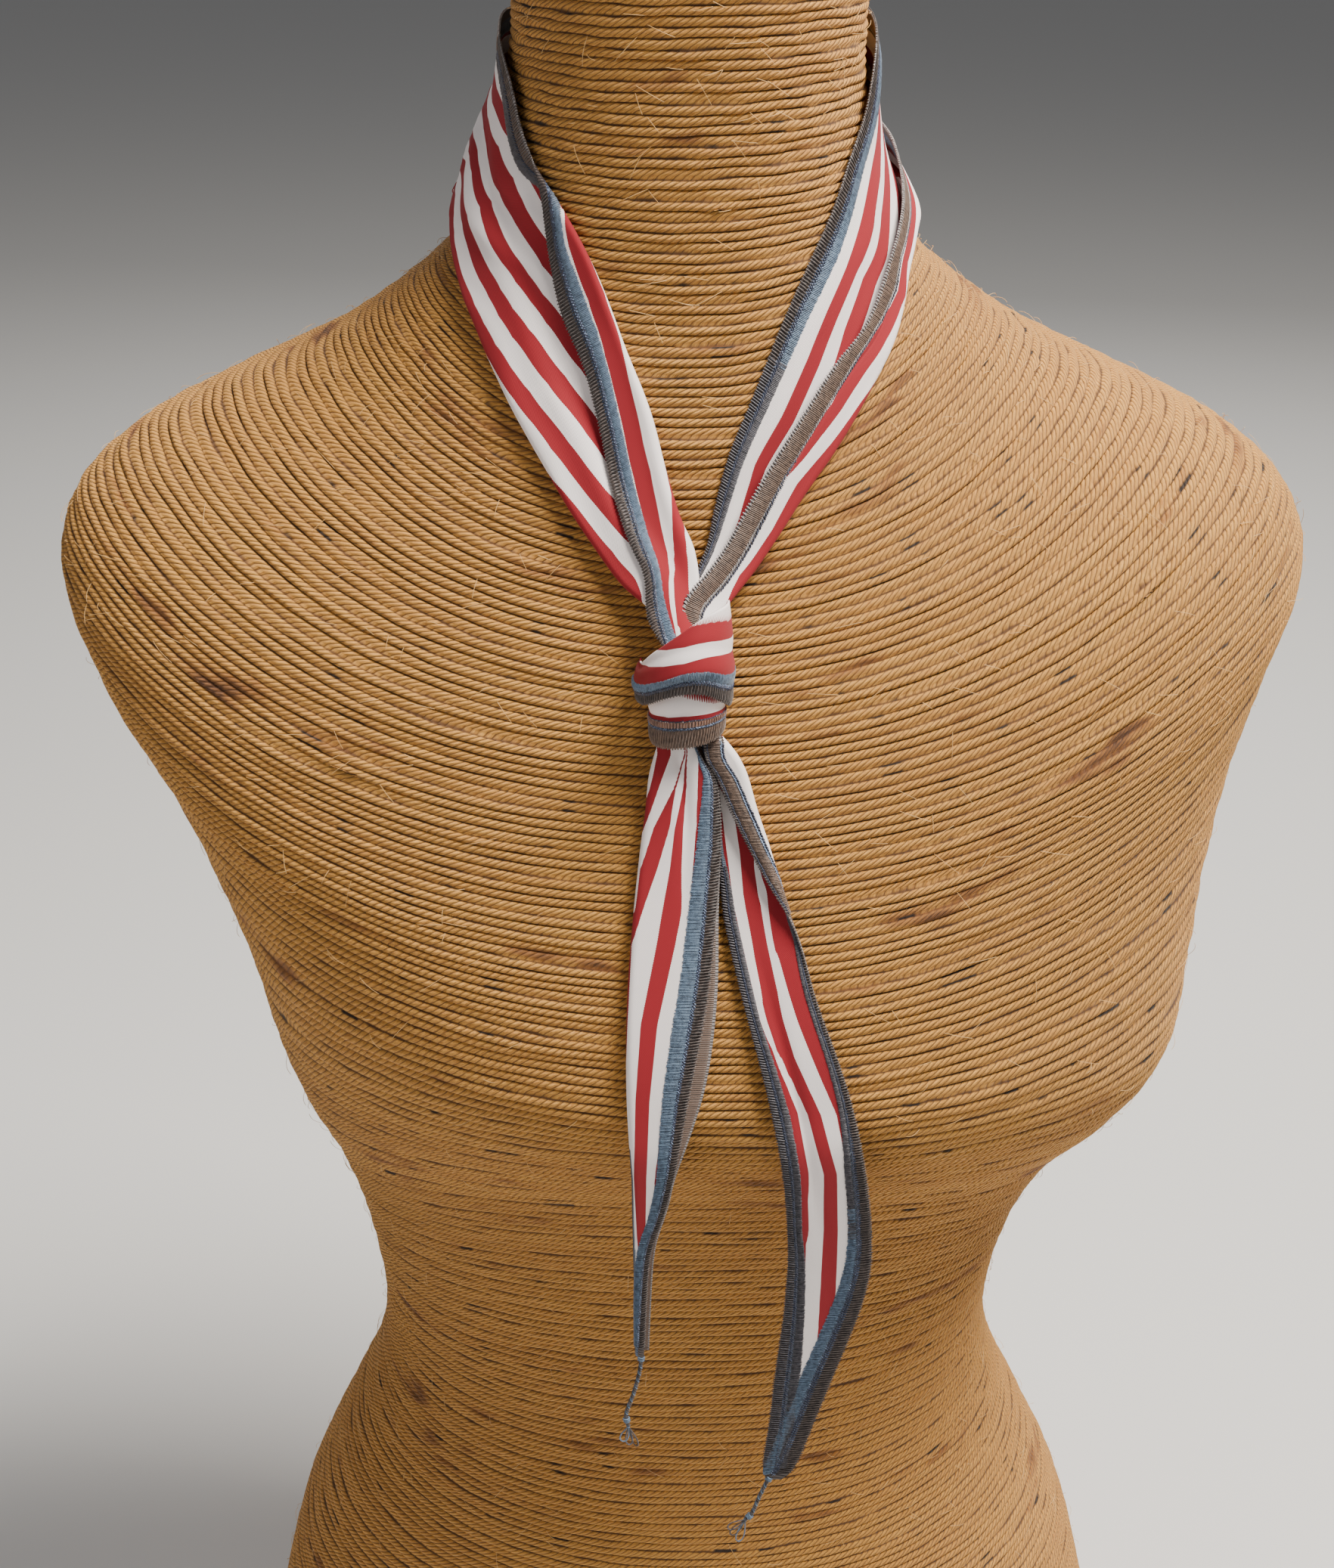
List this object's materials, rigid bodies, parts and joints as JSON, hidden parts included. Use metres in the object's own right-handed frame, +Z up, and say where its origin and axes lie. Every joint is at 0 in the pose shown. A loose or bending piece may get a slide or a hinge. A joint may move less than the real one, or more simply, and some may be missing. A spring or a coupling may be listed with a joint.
{
  "type": "neck scarf on a dress form",
  "caption": "Long pointed striped neck scarf with overlocked edges, folded round the neck of a twine-wound limbless dress form and tied in front in a double-turn knot.",
  "frame": {"origin": "centre of the dress form's flat base, below its neck, on the surface that it stands on", "axes": "+Z up through the neck, -Y to the form's front, +X to its left side"},
  "size_m": [0.3796, 0.2494, 0.68],
  "materials": {
    "twine": "rough jute twine",
    "striped_cotton": "soft matt cotton, red and white woven stripes",
    "overlock_thread": "satin sewing thread"
  },
  "bodies": {
    "root": {"dress_form": "twine", "nape_stretch": "striped_cotton", "neck_stretch_right": "striped_cotton", "neck_stretch_left": "striped_cotton", "knot_upper_turn": "striped_cotton", "knot_lower_turn": "striped_cotton", "knot_core": "striped_cotton", "short_end": "striped_cotton", "long_end": "striped_cotton", "short_end_thread": "overlock_thread", "long_end_thread": "overlock_thread"}
  },
  "joints": []
}
